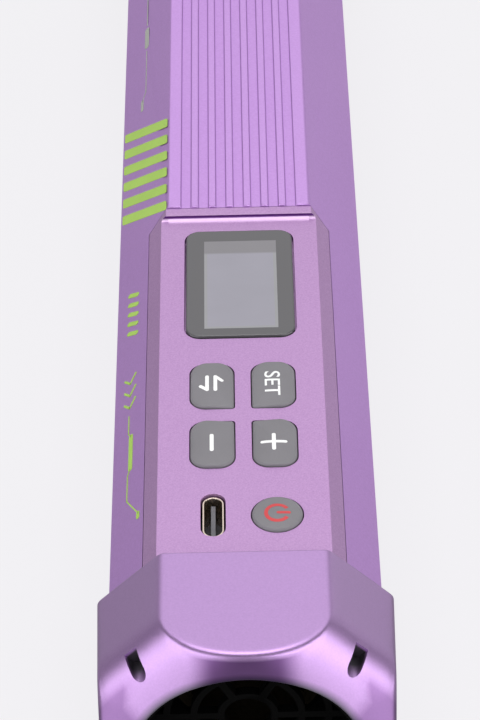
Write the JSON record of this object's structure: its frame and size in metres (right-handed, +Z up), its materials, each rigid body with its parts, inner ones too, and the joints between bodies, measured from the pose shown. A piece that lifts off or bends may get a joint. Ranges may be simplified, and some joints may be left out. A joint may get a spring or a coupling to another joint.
{
  "type": "cordless hot-air styling wand",
  "caption": "Slim octagonal cordless hot-air styling wand: flared round-mouthed end housings, ribbed extruded body, control deck with display, rubber keys and a charging port.",
  "frame": {"origin": "centre of the footprint, on the floor that the two end housings lie on", "axes": "+Y along the body from the mouth to the tail, +Z up through the control deck, +X to the right as seen from the mouth end"},
  "size_m": [0.044, 0.256, 0.044],
  "materials": {
    "anodised_purple": "satin purple anodised aluminium",
    "blasted_pink": "bead-blasted anodised aluminium, pinkish purple",
    "key_rubber": "soft-touch grey silicone",
    "lens_glass": "dark grey tinted display window",
    "black_nylon": "black heat-resistant nylon",
    "steel": "plain steel",
    "usb_plating": "pale champagne plating",
    "mica": "mica board",
    "heating_wire": "resistance wire",
    "copper": "enamelled copper wire",
    "rotor_steel": "laminated core and magnet",
    "impeller_grey": "dark grey glass-filled nylon",
    "board_green": "green circuit board",
    "chip_black": "moulded chip package",
    "mount_rubber": "black silicone rubber",
    "cell_wrap": "cell in blue heat-shrink sleeve",
    "nickel": "nickel strip",
    "filter_mesh": "fine woven filter mesh"
  },
  "bodies": {
    "body": {"body_tube": "anodised_purple", "control_deck": "blasted_pink", "mouth_housing": "anodised_purple", "mouth_liner": "black_nylon", "outlet_grille": "black_nylon", "heater_sleeve": "mica", "heater_cross": "mica", "heater_coil": "heating_wire", "fan_shroud": "black_nylon", "front_bearing": "steel", "rear_bearing": "steel", "motor_stator": "rotor_steel", "motor_windings": "copper", "motor_cap": "black_nylon", "fan_mount_front": "mount_rubber", "fan_mount_rear": "mount_rubber", "driver_board": "board_green", "driver_parts": "chip_black", "main_board": "board_green", "board_parts": "chip_black", "board_screws": "steel", "key_switches": "steel", "display_module": "chip_black", "display_lens": "lens_glass", "usb_shell": "usb_plating", "usb_tongue": "chip_black", "battery_cells": "cell_wrap", "cell_holder_front": "black_nylon", "cell_holder_rear": "black_nylon", "cell_links_front": "nickel", "cell_links_rear": "nickel", "battery_board": "board_green", "tail_housing": "anodised_purple", "dust_filter": "filter_mesh", "intake_grille": "black_nylon", "front_screws": "steel", "tail_screws": "steel"},
    "fan_rotor": {"fan_impeller": "impeller_grey", "rotor_shaft": "steel", "rotor_magnet": "rotor_steel"},
    "key_swap_cap": {"key_swap": "key_rubber"},
    "key_set_cap": {"key_set": "key_rubber"},
    "key_minus_cap": {"key_minus": "key_rubber"},
    "key_plus_cap": {"key_plus": "key_rubber"},
    "power_cap": {"power_key": "key_rubber"}
  },
  "joints": [
    {"name": "fan_spin", "type": "hinge", "parent": "body", "child": "fan_rotor", "pos_m": [0, -0.03, 0.022], "axis": [0, 1, 0], "continuous": true},
    {"name": "key_swap_press", "type": "slide", "parent": "body", "child": "key_swap_cap", "axis": [0, 0, -1], "range_m": [0, 0.00035], "stiffness_N_per_m": 400, "springref_m": -0.0006},
    {"name": "key_set_press", "type": "slide", "parent": "body", "child": "key_set_cap", "axis": [0, 0, -1], "range_m": [0, 0.00035], "stiffness_N_per_m": 400, "springref_m": -0.0006},
    {"name": "key_minus_press", "type": "slide", "parent": "body", "child": "key_minus_cap", "axis": [0, 0, -1], "range_m": [0, 0.00035], "stiffness_N_per_m": 400, "springref_m": -0.0006},
    {"name": "key_plus_press", "type": "slide", "parent": "body", "child": "key_plus_cap", "axis": [0, 0, -1], "range_m": [0, 0.00035], "stiffness_N_per_m": 400, "springref_m": -0.0006},
    {"name": "power_press", "type": "slide", "parent": "body", "child": "power_cap", "axis": [0, 0, -1], "range_m": [0, 0.00035], "stiffness_N_per_m": 400, "springref_m": -0.0006}
  ]
}
